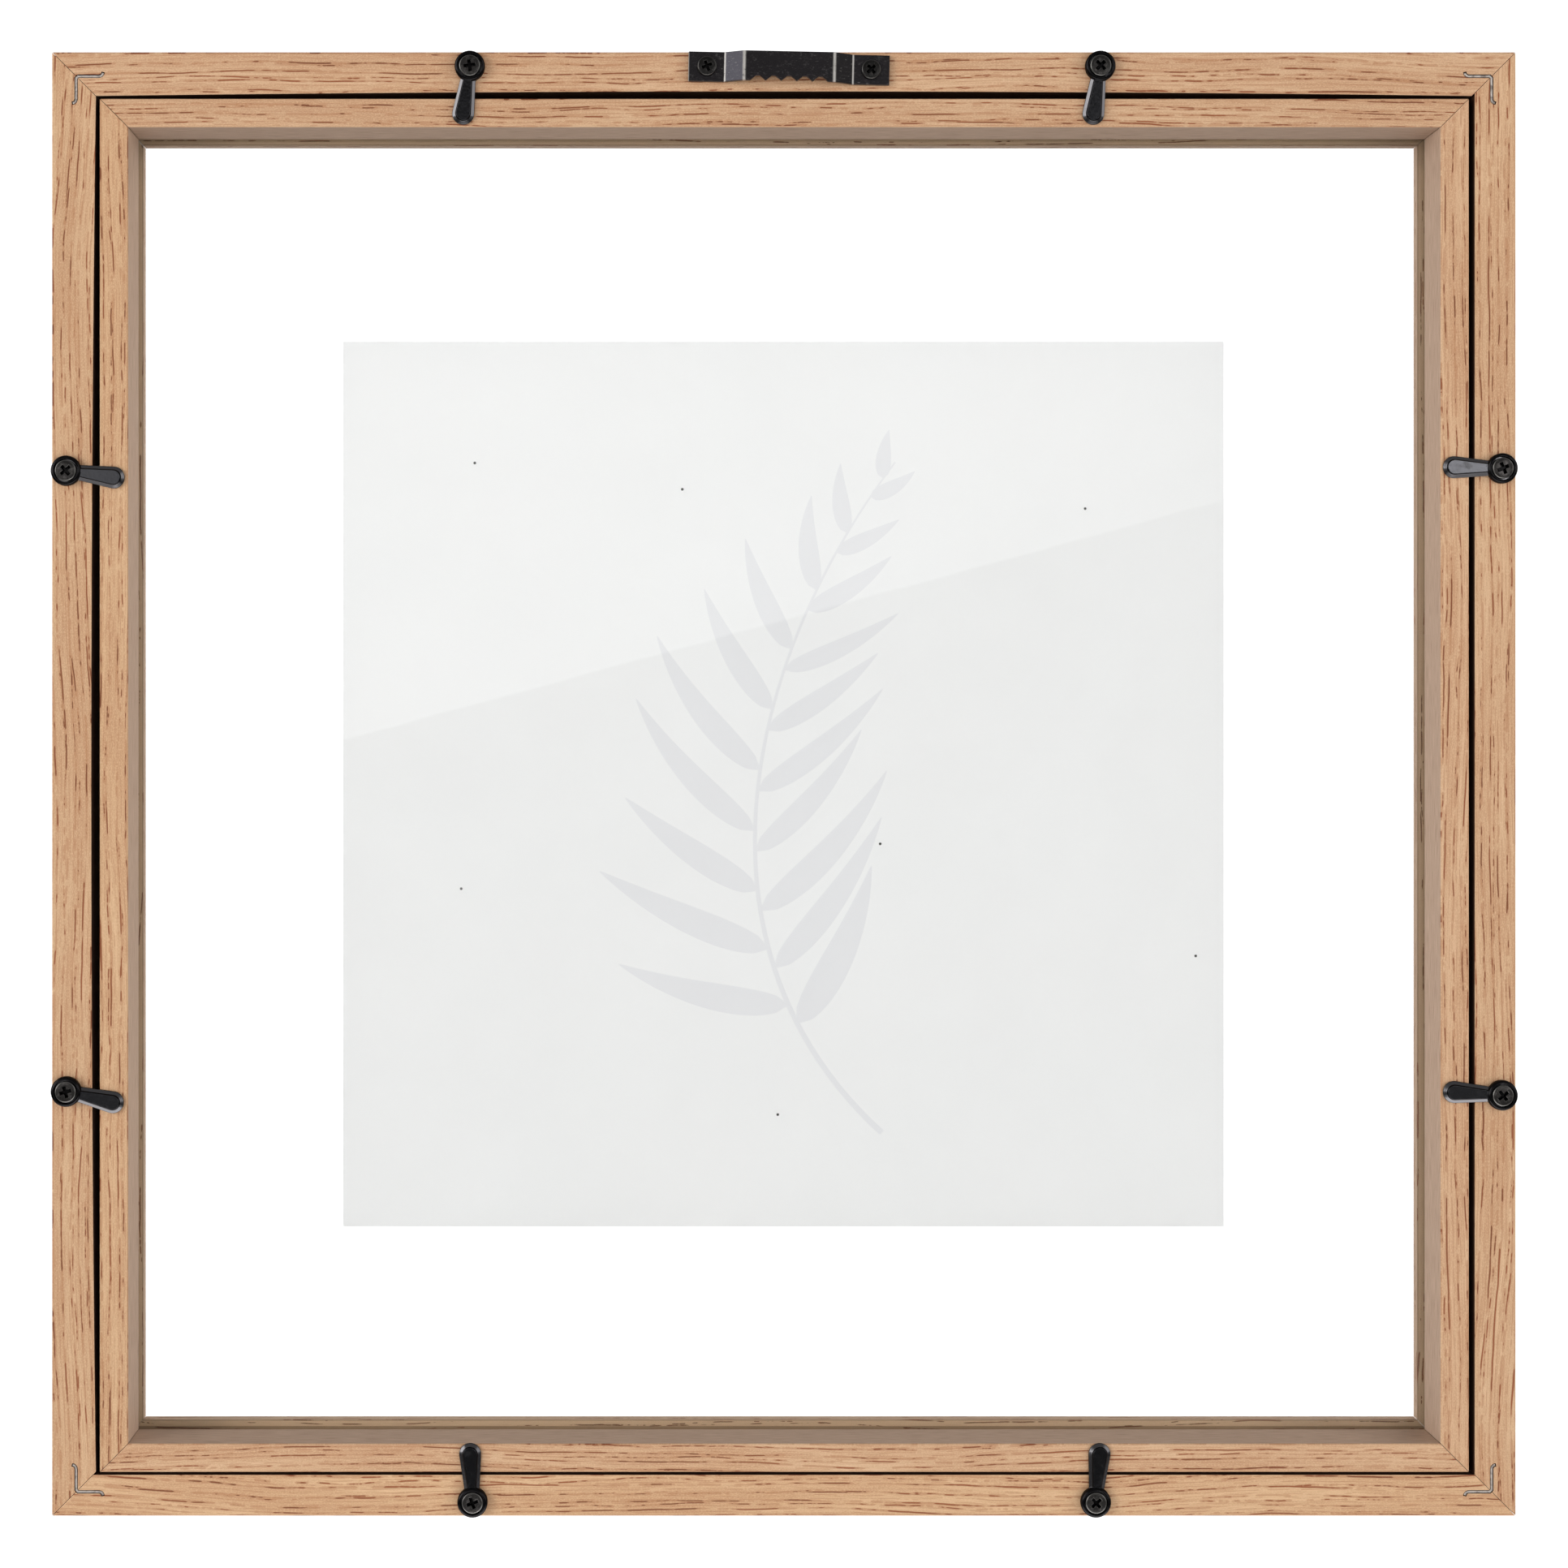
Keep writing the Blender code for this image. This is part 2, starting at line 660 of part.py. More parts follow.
screw_holes = add_turn_buttons(lacquer_finish)
screw_holes["top"] += add_hanger(hanger_finish, lacquer_finish)
nail_slots = add_corner_nails(nail_finish)
add_outer_frame(oak_finish, nail_slots, screw_holes)
add_inner_frame(oak_finish)
add_panes_and_print(glass_finish, paper_finish)
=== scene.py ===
"""The looks of the floating frame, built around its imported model.

A mitred oak frame holds a fern print between two panes of glass, and hangs by a sawtooth
hanger. The camera looks at its rear face. Metres, +Z up; the rear faces of the rails lie
at Y = 0 and the front looks along -Y. Materials work in millimetres.
"""

import math
import random

import bmesh
import bpy
from mathutils import Matrix, Vector


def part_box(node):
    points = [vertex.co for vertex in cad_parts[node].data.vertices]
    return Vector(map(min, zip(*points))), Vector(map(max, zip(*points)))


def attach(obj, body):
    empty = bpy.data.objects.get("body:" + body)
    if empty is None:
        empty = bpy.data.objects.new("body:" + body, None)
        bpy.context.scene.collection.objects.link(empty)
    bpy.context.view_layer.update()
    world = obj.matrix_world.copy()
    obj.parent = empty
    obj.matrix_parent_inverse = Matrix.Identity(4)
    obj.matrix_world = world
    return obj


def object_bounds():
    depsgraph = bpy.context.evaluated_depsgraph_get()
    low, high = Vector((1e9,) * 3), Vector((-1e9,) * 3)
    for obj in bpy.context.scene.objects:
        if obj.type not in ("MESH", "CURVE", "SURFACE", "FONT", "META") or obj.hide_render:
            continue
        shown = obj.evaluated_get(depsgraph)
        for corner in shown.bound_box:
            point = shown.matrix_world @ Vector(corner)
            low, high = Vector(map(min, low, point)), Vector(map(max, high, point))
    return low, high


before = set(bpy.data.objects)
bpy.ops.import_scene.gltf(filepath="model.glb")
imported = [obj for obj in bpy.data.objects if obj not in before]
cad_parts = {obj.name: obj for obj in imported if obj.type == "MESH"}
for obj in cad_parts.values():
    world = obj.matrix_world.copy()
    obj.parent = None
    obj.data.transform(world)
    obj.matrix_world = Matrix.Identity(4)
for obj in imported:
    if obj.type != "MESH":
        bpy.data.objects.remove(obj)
cad_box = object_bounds()
cad_middle = (cad_box[0] + cad_box[1]) / 2

MM = 0.001

# Camera: level and square to the frame, a little to one side of it and above its middle.
CAMERA_PLACE = (0.0308, 0.6106, -0.1423)
CAMERA_LENS = 64.14
CAMERA_SENSOR = 36.0
CAMERA_SHIFT = (0.087, -0.0342)

# Lamps: name, place, size and power. Each faces the middle of the frame.
LAMPS = (
    ("key_left", (1.25, 1.35, -0.75), (1.0, 1.5), 11.0),
    ("fill_right", (-1.20, 1.35, -0.75), (1.1, 1.5), 16.2),
    ("rim_left", (1.22, 0.82, 0.10), (0.6, 0.6), 8.2),
    ("rim_right", (-1.34, 0.66, 0.10), (0.20, 0.5), 4.6),
    ("front_left", (-1.2, -1.6, 0.7), (1.0, 1.2), 18.5),
    ("front_right", (1.5, -1.3, 0.2), (0.9, 1.2), 9.0),
)

# Backdrop and room: what the camera sees behind the frame, what lights the frame, and
# what is mirrored of the side behind it.
BACKDROP_LIGHT = 1.28
BEHIND_CAMERA_LIGHT = 0.33
BEHIND_FRAME_LIGHT = 0.75
MIRRORED_BEHIND_FRAME = 0.22
WALL_BEGINS, WALL_FULL = 0.15, -0.75
ROOM_AT_FOOT, ROOM_AT_HEAD = 1.04, 0.96

# Floor: it is matt near the frame and turns into the backdrop's white further out. In
# mirrors it is dark nearby but for a bright patch, and as light as the room far away.
FLOOR_DROP = 0.29
FLOOR_REACH = 12.0
FLOOR_SEGMENTS = 96
FLOOR_COLOUR = (0.86, 0.86, 0.86)
FLOOR_GLOW = 0.80
FLOOR_NEAR, FLOOR_FAR = 0.55, 0.95
MIRRORED_FLOOR_LIGHT = 0.10
MIRRORED_FLOOR_NEAR, MIRRORED_FLOOR_FAR = 1.1, 2.2
PATCH_LIGHT = 3.2
PATCH_FULL, PATCH_GONE = 0.40, 0.50

# What the panes and the lacquer mirror of the camera's side: a lit card with a slanted
# lower edge, a brighter card beside it and a window. Places are slopes from the line of
# sight, as (across, up).
MIRROR_SIDE = 0.05
CARD_LIGHT = 0.62
CARD_EDGE_AT = (0.107, -0.0037)
CARD_EDGE_BLUR = 0.0015
CARD_EDGE_SLOPE = -0.2725
CARD_FADE = (-0.42, -0.05)
CARD_TOP, CARD_TOP_BLUR = 0.155, 0.03
SIDE_CARD_LIGHT = 1.6
SIDE_CARD_AT, SIDE_CARD_BLUR = (0.16, -0.22), (0.03, 0.04)
SIDE_CARD_END = (0.8, 0.6)
WINDOW_LIGHT = 8.5
WINDOW_AT = (-0.306, 0.105)
WINDOW_HALF = (0.075, 0.055)
WINDOW_BLUR = 0.01

# Glow: light far out on both sides, for the sloping edges of the hardware. It begins, is
# full, fades and ends at these slopes, and is gone and full at these heights in the sky.
GLOW_LEFT, GLOW_RIGHT = 3.4, 1.45
GLOW_REACH = (0.75, 1.1, 3.0, 4.5)
GLOW_RISE = (0.65, 0.45)

# Dark bands above and below the line of sight: slope and half the blur of each edge.
DARK_BANDS = ((0.20, 0.02), (0.50, -0.1))
DARK_ACROSS = (0.7, 0.5)
DARK_SHARE = 0.2

# Wood: sizes of its figure in millimetres, along the grain by across it.
GRAIN_SWEEP = (120.0, 42.0)
GRAIN_WOBBLE = (20.0, 6.0)
PORE_CROWDS = (50.0, 3.5)
FIBRE = (5.0, 0.16)
STREAK = (26.0, 0.8)
TONE_PATCH = (45.0, 5.0)
GRIT = (0.40, 0.20)

# Pores lie in rows: how far apart the rows are, how long a pore is, and a seed.
COARSE_PORES = (2.0, 8.5, 0.0)
MIDDLING_PORES = (2.9, 4.6, 0.37)
FINE_PORES = (0.8, 6.0, 0.61)

# How pale the wood of each side is, partly painted light from below (the bottom rails
# paler, the top ones darker), and how far the grain of each kind of rail sweeps.
RAIL_TONE_AND_LIGHT = {"top": 0.98, "right": 1.0, "bottom": 1.07, "left": 1.02}
RAIL_SWEEP = {"outer_rail_": 11.0, "inner_rail_": 7.0}
GRAIN_SEED = 5

# Lip: its floor in Y, just below the front pane, and the opening that it leaves.
BELOW_PANE = 0.1 * MM
LIP_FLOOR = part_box("front_glass")[0].y - BELOW_PANE
SIGHT_HALF = (143.0, 143.0)
SIGHT_MIDDLE = (cad_middle.x / MM, cad_middle.z / MM)

# Edges of the CAD model's hardware: which are rounded, and by how much on each kind.
WELD_DISTANCE = 0.0005 * MM
FLAT_ANGLE = math.radians(0.6)
EDGE_ANGLE = math.radians(34.0)
EDGE_SEGMENTS = 2
BUTTON_EDGE = 0.16 * MM
SCREW_EDGE = 0.05 * MM
NAIL_EDGE = 0.08 * MM
HANGER_EDGE = 0.12 * MM

# Buttons: heights in their shape, in millimetres above the rear faces of the rails.
SLOPE_TOP = 1.02
TONGUE_TOP = 1.42

# Hanger: its turn, and where its strip bends and ends, in millimetres from its middle.
HANGER_TILT = math.radians(-1.2)
HANGER_BENDS = (9.8, 14.0)
HANGER_HALF_LENGTH = 21.95

# Fern: its stem runs up the print, with leaflets on both sides.
FERN_STEM = ((-22.0, -78.0), (22.0, -38.0), (10.0, 26.0), (-25.0, 72.0))
FERN_LEAFLETS = 10
FERN_FIRST = 0.20
STEM_STEPS = 48
LEAFLET_STEPS = 14
LEAFLET_LENGTH = 46.0
LEAFLET_WIDTH = 6.6
STEM_WIDTH = 1.1
INK_THICKNESS = 0.03
FERN_SEED = 11


def linear(red, green, blue):
    """A colour given in 0 to 255 as a screen shows it, in linear light."""
    shares = [v / 255 for v in (red, green, blue)]
    return tuple(s / 12.92 if s <= 0.04045 else ((s + 0.055) / 1.055) ** 2.4 for s in shares)


class Graph:
    """Short calls that add nodes to a material or world and return their outputs."""

    def __init__(self, owner):
        owner.use_nodes = True
        self.tree = owner.node_tree
        self.tree.nodes.clear()

    def node(self, kind, inputs, **settings):
        made = self.tree.nodes.new(kind)
        for name, value in settings.items():
            setattr(made, name, value)
        for name, value in inputs.items():
            self.feed(made.inputs[name], value)
        return made

    def feed(self, socket, value):
        if isinstance(value, bpy.types.NodeSocket):
            self.tree.links.new(value, socket)
        elif socket.type == "RGBA" and len(value) == 3:
            socket.default_value = (*value, 1.0)
        else:
            socket.default_value = value

    def math(self, operation, a, b=0.0, clamp=False):
        inputs = {0: a, 1: b}
        return self.node("ShaderNodeMath", inputs, operation=operation, use_clamp=clamp).outputs[0]

    def plus(self, a, b):
        return self.math("ADD", a, b)

    def minus(self, a, b):
        return self.math("SUBTRACT", a, b)

    def times(self, first, *others):
        for other in others:
            first = self.math("MULTIPLY", first, other)
        return first

    def highest(self, a, b):
        return self.math("MAXIMUM", a, b)

    def apart(self, a, b):
        """How far two numbers are from each other."""
        return self.math("ABSOLUTE", self.minus(a, b))

    def size_of(self, value):
        return self.math("ABSOLUTE", value)

    def over(self, value, limit):
        """1 where the value is over the limit, and 0 elsewhere."""
        return self.math("GREATER_THAN", value, limit)

    def rest_of(self, share):
        return self.minus(1.0, share)

    def scaled(self, vector, by):
        inputs = {0: vector, 1: by}
        return self.node("ShaderNodeVectorMath", inputs, operation="MULTIPLY").outputs[0]

    def combined(self, x, y, z=0.0):
        return self.node("ShaderNodeCombineXYZ", {0: x, 1: y, 2: z}).outputs[0]

    def split(self, vector):
        return self.node("ShaderNodeSeparateXYZ", {0: vector}).outputs

    def noise(self, vector, scale=1.0, detail=2.0, roughness=0.5):
        inputs = {"Vector": vector, "Scale": scale, "Detail": detail, "Roughness": roughness}
        return self.node("ShaderNodeTexNoise", inputs).outputs[0]

    def streaks(self, figure, size, detail):
        """Noise whose marks are this long and this wide, in a plane."""
        return self.noise(self.scaled(figure, (1 / size[0], 1 / size[1], 1)), detail=detail)

    def cells(self, vector, scale=1.0):
        inputs = {"Vector": vector, "Scale": scale}
        return self.node("ShaderNodeTexVoronoi", inputs, voronoi_dimensions="2D").outputs

    def ramp(self, value, low, high):
        """0 at low, 1 at high and a smooth rise between; high may be the lower one."""
        inputs = {"Value": value, "From Min": low, "From Max": high}
        kind = "ShaderNodeMapRange"
        return self.node(kind, inputs, interpolation_type="SMOOTHSTEP").outputs[0]

    def between(self, factor, a, b):
        """A number from a, at factor 0, to b, at factor 1."""
        inputs = {"Value": factor, "To Min": a, "To Max": b}
        return self.node("ShaderNodeMapRange", inputs).outputs[0]

    def mix(self, factor, a, b):
        """A colour from a, at factor 0, to b, at factor 1."""
        made = self.tree.nodes.new("ShaderNodeMix")
        made.data_type = "RGBA"
        by_name = {s.name: s for s in made.inputs if s.type == "RGBA"}
        by_name["Factor"] = made.inputs[0]
        for name, value in {"Factor": factor, "A": a, "B": b}.items():
            self.feed(by_name[name], value)
        return next(s for s in made.outputs if s.type == "RGBA")

    def tint(self, colour, other, share, most):
        """The colour with another mixed into it, to at most this much where share is 1."""
        return self.mix(self.times(share, most), colour, other)

    def millimetres(self):
        """Where a point is in the frame, in millimetres."""
        place = self.node("ShaderNodeTexCoord", {}).outputs["Object"]
        return self.scaled(place, (1 / MM, 1 / MM, 1 / MM))

    def facing_rear(self):
        """How far the mesh faces the rear, from -1 to 1, with no bump in it."""
        return self.split(self.node("ShaderNodeTexCoord", {}).outputs["Normal"])[1]

    def path(self):
        """What kind of ray this is, and what it has met so far."""
        return self.node("ShaderNodeLightPath", {}).outputs

    def bump(self, height, distance, strength=1.0):
        inputs = {"Height": height, "Distance": distance, "Strength": strength}
        return self.node("ShaderNodeBump", inputs).outputs[0]

    def principled(self, **inputs):
        named = {name.replace("_", " "): value for name, value in inputs.items()}
        return self.node("ShaderNodeBsdfPrincipled", named).outputs[0]

    def surface(self, shader, kind="ShaderNodeOutputMaterial"):
        self.node(kind, {"Surface": shader})


def new_material(name):
    material = bpy.data.materials.new(name)
    return material, Graph(material)


def pore_row(g, along, bent, kind):
    """Rows of pores that wander along the grain: how far a point is from the line of its
    row, and how strong the row is there."""
    spacing, length, seed = kind
    row = g.plus(g.math("DIVIDE", bent, spacing), seed)
    number = g.math("FLOOR", row)
    stagger = g.times(number, 31.7)
    wander = g.noise(g.combined(g.math("DIVIDE", along, 30.0), stagger), detail=4.0)
    off = g.minus(g.minus(row, number), g.between(wander, 0.05, 0.95))
    spot = g.combined(g.math("DIVIDE", along, length), g.plus(stagger, 9.3))
    strength = g.noise(spot, detail=3.0, roughness=0.64)
    return g.times(g.size_of(off), spacing), strength


def dashes(g, row, crowd, share, half):
    """Tapering dashes along a row, half as wide as this, where it is stronger than the
    share."""
    off, strength = row
    strength = g.plus(strength, crowd)
    dash = g.ramp(strength, share, share + 0.08)
    width = g.plus(g.times(dash, half), 0.001)
    inside = g.ramp(g.math("DIVIDE", off, width), 1.1, 0.6)
    return g.times(inside, g.ramp(dash, 0.0, 0.3))


def spacer_tone_and_shade(g, colour, pore, fibre, side_on, outward):
    """Greyer inner walls on the spacer frame, with hardly a pore in them, and painted shade
    on its outer sides, which face the deep gap between the frames. Gives the colour, the
    pores and where the painted shade falls."""
    inner = g.times(side_on, g.rest_of(outward))
    grey = g.mix(g.ramp(fibre, 0.35, 0.75), linear(199, 172, 151), linear(158, 131, 111))
    colour = g.tint(colour, grey, inner, 0.88)
    pore = g.times(pore, g.between(inner, 1.0, 0.08))
    return colour, pore, g.times(side_on, outward)


def moulding_light_and_shade(g, colour, place, facing_y, side_on, outward):
    """Painted light and shade on the outer frame: a paler lip, painted light for the lip that
    lies in shade behind the glass; painted shade along the lip's two edges, by the spacer
    frame and at the sight edge; a greyed sight edge, against the backdrop's light on it; and
    painted shade in the rabbet. Gives the colour and where the rabbet's painted shade falls."""
    x, y, z = place
    behind_lip = g.over(y, LIP_FLOOR / MM)
    outside = g.highest(*(
        g.minus(g.apart(at, middle), half)
        for at, middle, half in zip((x, z), SIGHT_MIDDLE, SIGHT_HALF)
    ))
    lip = g.times(g.ramp(facing_y, 0.3, 0.6), g.rest_of(behind_lip))
    rim = g.highest(g.ramp(outside, 0.35, 0.15), g.ramp(outside, 1.35, 1.6))
    # Painted light: the lip, in shade behind the glass, gets a paler copy of the oak.
    colour = g.tint(colour, linear(242, 208, 168), lip, 0.7)
    # Painted shade along the lip's two edges, by the spacer frame's wall and at the sight edge.
    colour = g.mix(g.times(lip, g.between(rim, 0.0, 0.5)), colour, linear(112, 70, 44))
    sight_edge = g.times(side_on, g.rest_of(behind_lip), g.rest_of(outward))
    # Painted shade: the sight edge is greyed against the backdrop's light on it.
    colour = g.tint(colour, linear(186, 164, 144), sight_edge, 0.6)
    return colour, g.times(side_on, g.rest_of(outward), behind_lip)


def oak(name, upright, offset, tone_and_light, sweep, spacer):
    """Pale oak with short dark pores in wandering lines, its grain along the rail.

    The distance across the grain counts height and depth together, so that the figure
    carries on round an edge.
    """
    material, g = new_material(name)
    x, y, z = g.split(g.millimetres())
    along, across = (z, x) if upright else (x, z)
    along = g.plus(along, offset[0])
    across = g.plus(g.plus(across, g.times(y, 0.9)), offset[1])
    flat = g.combined(along, across)
    drift = g.streaks(flat, GRAIN_SWEEP, detail=1.0)
    wobble = g.streaks(flat, GRAIN_WOBBLE, detail=2.0)
    bent = g.plus(across, g.times(g.minus(drift, 0.5), sweep))
    bent = g.plus(bent, g.minus(wobble, 0.5))
    figure = g.combined(along, bent)

    crowd = g.times(g.minus(g.streaks(figure, PORE_CROWDS, detail=1.0), 0.5), 0.22)
    grit = g.streaks(flat, GRIT, detail=2.0)
    fibre = g.streaks(figure, FIBRE, detail=3.0)
    streak = g.streaks(figure, STREAK, detail=2.0)
    tone = g.streaks(figure, TONE_PATCH, detail=2.0)

    # Pores are filled with dark stain; traces are the paler dashes that lead into them.
    coarse = pore_row(g, along, bent, COARSE_PORES)
    middling = pore_row(g, along, bent, MIDDLING_PORES)
    fine = pore_row(g, along, bent, FINE_PORES)
    pore = g.highest(
        dashes(g, coarse, crowd, 0.495, 0.16), dashes(g, middling, crowd, 0.52, 0.14)
    )
    pore = g.math("MULTIPLY", pore, g.between(grit, 0.50, 1.50), clamp=True)
    trace = g.highest(
        dashes(g, coarse, crowd, 0.40, 0.28), dashes(g, middling, crowd, 0.44, 0.26)
    )
    trace = g.highest(trace, g.times(dashes(g, fine, crowd, 0.45, 0.12), 0.85))

    light = [c * w for c, w in zip(linear(209, 173, 136), tone_and_light)]
    deep = [c * w for c, w in zip(linear(191, 150, 114), tone_and_light)]
    colour = g.mix(g.ramp(tone, 0.30, 0.70), tuple(light), tuple(deep))
    colour = g.tint(colour, linear(181, 132, 94), g.ramp(streak, 0.38, 0.75), 0.50)
    colour = g.tint(colour, linear(164, 115, 78), g.ramp(fibre, 0.38, 0.70), 0.40)
    colour = g.tint(colour, linear(226, 192, 156), g.ramp(grit, 0.38, 0.72), 0.46)
    colour = g.tint(colour, linear(166, 108, 69), trace, 0.42)

    facing = g.split(g.node("ShaderNodeNewGeometry", {}).outputs["Normal"])
    side_on = g.ramp(g.size_of(facing[1]), 0.6, 0.3)
    outward = g.over(g.plus(*(
        g.times(facing[axis], g.minus(at, cad_middle[axis] / MM)) for axis, at in ((0, x), (2, z))
    )), 0.0)
    if spacer:
        colour, pore, gap_shade = spacer_tone_and_shade(g, colour, pore, fibre, side_on, outward)
    else:
        colour, gap_shade = moulding_light_and_shade(g, colour, (x, y, z), facing[1], side_on, outward)
    dark = g.mix(g.ramp(tone, 0.35, 0.65), linear(136, 70, 39), linear(106, 52, 28))
    colour = g.tint(colour, dark, pore, 0.88)
    # Painted shade: nearly black on the walls of the deep gap between the two frames.
    colour = g.tint(colour, linear(34, 10, 7), gap_shade, 0.93)

    shader = g.principled(
        Base_Color=colour,
        Roughness=g.between(g.plus(pore, g.times(fibre, 0.3)), 0.50, 0.70),
        IOR=1.42,
        Normal=g.bump(g.minus(g.times(fibre, 0.30), pore), 0.05 * MM, 0.6),
    )
    g.surface(shader)
    return material


def black_lacquer(name):
    """Stoved black lacquer on a pressed part, as a metal whose base colour says how much
    it mirrors.

    That goes by height: the round head is black, the tongue's top satin, the slope round it
    mirroring more, and the steep steps between them hardly shine: painted shade for the dark
    bands along them.
    """
    material, g = new_material(name)
    place = g.millimetres()
    height = g.split(place)[1]
    peel = g.noise(place, scale=1.6, detail=2.0)
    grit = g.noise(place, scale=9.0, detail=3.0)
    rubbed = g.ramp(g.noise(place, scale=0.55, detail=3.0), 0.52, 0.74)
    steep = g.ramp(g.facing_rear(), 0.80, 0.62)

    tongue = g.mix(grit, linear(50, 50, 52), linear(70, 70, 73))
    tongue = g.tint(tongue, linear(84, 83, 84), rubbed, 0.3)
    slope = g.mix(grit, linear(86, 85, 87), linear(108, 106, 108))
    colour = g.mix(g.ramp(height, SLOPE_TOP + 0.04, SLOPE_TOP), tongue, slope)
    head = g.ramp(height, TONGUE_TOP + 0.05, TONGUE_TOP + 0.12)
    colour = g.mix(head, colour, linear(34, 33, 34))
    # Painted shade: the steep steps are kept dark, for the dark bands along them.
    colour = g.mix(steep, colour, linear(20, 19, 20))

    rough = g.plus(g.between(rubbed, 0.13, 0.20), g.times(grit, 0.08))
    shader = g.principled(
        Base_Color=colour,
        Metallic=1.0,
        Roughness=g.highest(rough, g.times(steep, 0.6)),
        Normal=g.bump(g.plus(peel, g.times(grit, 0.16)), 0.04 * MM, 0.4),
    )
    g.surface(shader)
    return material


def screw_black(name, top, darkening):
    """Black phosphate on a screw's head, with a painted highlight round its shoulder and
    painted shade down in its cross. The more it is darkened, the darker the whole head and
    the fainter that highlight."""
    material, g = new_material(name)
    place = g.millimetres()
    depth = g.minus(top / MM, g.split(place)[1])
    grit = g.noise(place, scale=7.0, detail=3.0)
    patch = g.noise(place, scale=1.3, detail=3.0)
    worn = g.ramp(g.plus(g.times(grit, 0.4), patch), 0.70, 0.95)
    shoulder = g.times(g.ramp(g.facing_rear(), 0.98, 0.90), g.ramp(depth, 0.20, 0.12))

    colour = g.mix(grit, linear(40, 39, 38), linear(66, 63, 61))
    colour = g.tint(colour, linear(104, 100, 98), worn, 0.6)
    colour = g.mix(darkening, colour, linear(22, 22, 22))
    # Painted highlight: a bright ring round the shoulder of the head.
    colour = g.tint(colour, linear(128, 126, 122), shoulder, 0.6 * (1.0 - darkening))
    # Painted shade down in the cross.
    colour = g.mix(g.ramp(depth, 0.16, 0.30), colour, linear(14, 13, 13))
    shader = g.principled(
        Base_Color=colour,
        Metallic=0.85,
        Roughness=g.between(grit, 0.22, 0.38),
        Normal=g.bump(g.plus(patch, g.times(grit, 0.4)), 0.02 * MM, 0.5),
    )
    g.surface(shader)
    return material


def hanger_steel(name, middle):
    """Blackened strip steel, scuffed along its length and worn to the metal at one end. Along
    its bends it is worn to the metal and also carries a painted highlight, where the bends
    catch light. Its two ramps carry painted light and shade: lighter on the camera's left,
    darker on its right."""
    material, g = new_material(name)
    centre = tuple(-v / MM for v in middle)
    moved = g.node(
        "ShaderNodeVectorMath", {0: g.millimetres(), 1: centre}, operation="ADD"
    ).outputs[0]
    turn = {"Vector": moved, "Axis": (0, 1, 0), "Angle": -HANGER_TILT}
    strip = g.node("ShaderNodeVectorRotate", turn, rotation_type="AXIS_ANGLE").outputs[0]
    along = g.split(strip)[0]
    away = g.size_of(along)
    camera_left = g.over(along, 0.0)

    grit = g.noise(strip, scale=6.0, detail=4.0)
    scuff = g.noise(g.scaled(strip, (1 / 1.1, 1 / 0.5, 1 / 0.30)), detail=5.0, roughness=0.7)
    nick = g.noise(g.scaled(strip, (0.9, 0.9, 1.6)), detail=4.0, roughness=0.7)
    wear_and_bend_glint = g.times(g.ramp(scuff, 0.58, 0.80), 0.5)
    # The bends are worn to the metal and also carry a painted highlight where they catch light.
    for bend, width in zip(HANGER_BENDS, (0.50, 0.28)):
        line = g.times(g.ramp(g.apart(away, bend), width, 0.05), g.ramp(nick, 0.24, 0.44))
        wear_and_bend_glint = g.highest(wear_and_bend_glint, line)
    end = g.ramp(away, HANGER_HALF_LENGTH - 0.30, HANGER_HALF_LENGTH - 0.05)
    wear_and_bend_glint = g.math("MAXIMUM", wear_and_bend_glint, g.times(camera_left, end, 0.6), clamp=True)

    black = g.mix(grit, linear(30, 28, 30), linear(60, 57, 59))
    black = g.mix(g.ramp(nick, 0.55, 0.72), black, linear(84, 82, 82))
    # Painted light and shade on the two ramps: lighter on the camera's left, darker on its right.
    inner, outer = HANGER_BENDS
    on_ramp = g.times(g.ramp(away, inner, inner + 0.4), g.ramp(away, outer, outer - 0.2))
    ramp_light_and_shade = g.mix(camera_left, linear(17, 15, 15), linear(66, 65, 71))
    black = g.tint(black, ramp_light_and_shade, on_ramp, 0.75)
    shader = g.principled(
        Base_Color=g.tint(black, linear(190, 186, 180), wear_and_bend_glint, 0.85),
        Metallic=g.between(wear_and_bend_glint, 0.9, 0.25),
        Roughness=g.between(grit, 0.24, 0.42),
        Normal=g.bump(g.plus(scuff, g.times(grit, 0.5)), 0.04 * MM, 0.6),
    )
    g.surface(shader)
    return material


def nail_steel(name):
    """Bright strip steel with brown stains."""
    material, g = new_material(name)
    place = g.millimetres()
    grit = g.noise(place, scale=8.0, detail=3.0)
    stain = g.ramp(g.noise(place, scale=0.8, detail=3.0), 0.45, 0.65)
    colour = g.mix(grit, linear(172, 162, 154), linear(208, 200, 192))
    shader = g.principled(
        Base_Color=g.tint(colour, linear(84, 68, 60), stain, 0.6),
        Metallic=0.4,
        Roughness=g.between(stain, 0.32, 0.55),
        Normal=g.bump(grit, 0.03 * MM, 0.5),
    )
    g.surface(shader)
    return material


def glass(name):
    """Clear float glass, faintly uneven; light from lamps passes straight through it."""
    material, g = new_material(name)
    place = g.millimetres()
    smear = g.noise(g.scaled(place, (1 / 42, 1, 1 / 30)), detail=3.0)
    pane = g.principled(
        Base_Color=g.mix(smear, linear(254, 255, 255), linear(255, 255, 255)),
        Roughness=0.0,
        IOR=1.5,
        Transmission_Weight=1.0,
        Normal=g.bump(smear, 0.02 * MM, 0.3),
    )
    open_way = g.node("ShaderNodeBsdfTransparent", {0: linear(252, 252, 252)}).outputs[0]
    shadow = g.path()["Is Shadow Ray"]
    g.surface(g.node("ShaderNodeMixShader", {0: shadow, 1: pane, 2: open_way}).outputs[0])
    return material


